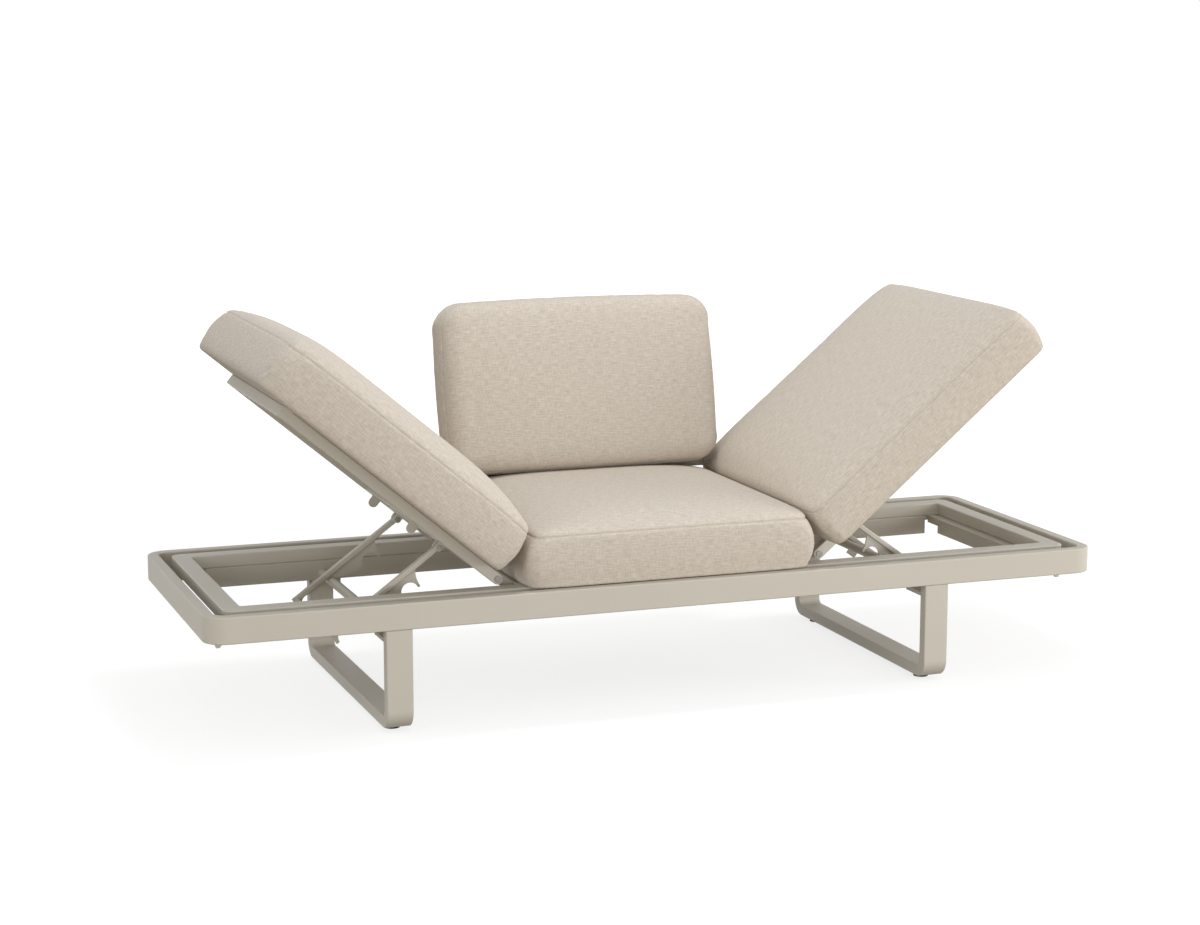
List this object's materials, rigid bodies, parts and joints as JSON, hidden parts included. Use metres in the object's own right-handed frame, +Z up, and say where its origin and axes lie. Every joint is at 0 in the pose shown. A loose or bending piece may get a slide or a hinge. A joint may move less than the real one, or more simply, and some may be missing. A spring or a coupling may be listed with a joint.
{
  "type": "outdoor modular sofa",
  "caption": "Long low outdoor sofa on loop legs: a cushioned seat and back between hinged, cushioned side panels that are held up by notched stays and fold flat into a daybed.",
  "frame": {"origin": "on the floor, under the middle of the sofa's box, back cushion and hoop included", "axes": "+X along the sofa, to the right as seen from the front; +Y from front to back; +Z up"},
  "size_m": [2.15, 0.7976, 0.8686],
  "materials": {
    "frame": "matte powder coat, warm taupe",
    "hardware": "plain stainless steel",
    "glide": "matte black",
    "fabric": "woven beige outdoor fabric with a slubbed linen look"
  },
  "bodies": {
    "base": {"outer_hoop": "frame", "inner_frame": "frame", "lower_rails": "frame", "end_ledges": "frame", "corner_tabs": "frame", "leg_left": "frame", "leg_right": "frame", "leg_brackets": "frame", "foot_glides": "glide", "seat_cross_tubes": "frame", "seat_slats": "frame", "seat_cushion": "fabric", "catch_rods": "frame", "hinge_brackets": "frame", "hinge_bolts": "hardware", "back_uprights": "frame", "back_top_rail": "frame", "back_cross_rail": "frame", "back_sockets": "frame", "back_cushion": "fabric"},
    "panel_right": {"panel_rails_right": "frame", "panel_end_bar_right": "frame", "panel_cross_tubes_right": "frame", "panel_slats_right": "frame", "panel_cushion_right": "fabric", "stay_ears_right": "frame", "guide_lugs_right": "frame", "stay_pins_right": "hardware"},
    "stay_right": {"stay_bars_right": "frame", "catch_plates_right": "frame", "stay_tie_right": "frame"},
    "panel_left": {"panel_rails_left": "frame", "panel_end_bar_left": "frame", "panel_cross_tubes_left": "frame", "panel_slats_left": "frame", "panel_cushion_left": "fabric", "stay_ears_left": "frame", "guide_lugs_left": "frame", "stay_pins_left": "hardware"},
    "stay_left": {"stay_bars_left": "frame", "catch_plates_left": "frame", "stay_tie_left": "frame"}
  },
  "joints": [
    {"name": "panel_right_fold", "type": "hinge", "parent": "base", "child": "panel_right", "pos_m": [0.3947, -0.03082, 0.30805], "axis": [0, -1, 0], "range_deg": [-40, 0]},
    {"name": "stay_right_swing", "type": "hinge", "parent": "panel_right", "child": "stay_right", "pos_m": [0.50754, -0.03082, 0.37271], "axis": [0, -1, 0], "range_deg": [0, 75.9]},
    {"name": "panel_left_fold", "type": "hinge", "parent": "base", "child": "panel_left", "pos_m": [-0.3947, -0.03082, 0.30805], "axis": [0, 1, 0], "range_deg": [-40, 0]},
    {"name": "stay_left_swing", "type": "hinge", "parent": "panel_left", "child": "stay_left", "pos_m": [-0.50754, -0.03082, 0.37271], "axis": [0, 1, 0], "range_deg": [0, 75.9]}
  ],
  "couplings": [
    {"joint": "stay_right_swing", "follows": "panel_right_fold", "ratio": -1.8975},
    {"joint": "stay_left_swing", "follows": "panel_left_fold", "ratio": -1.8975}
  ]
}
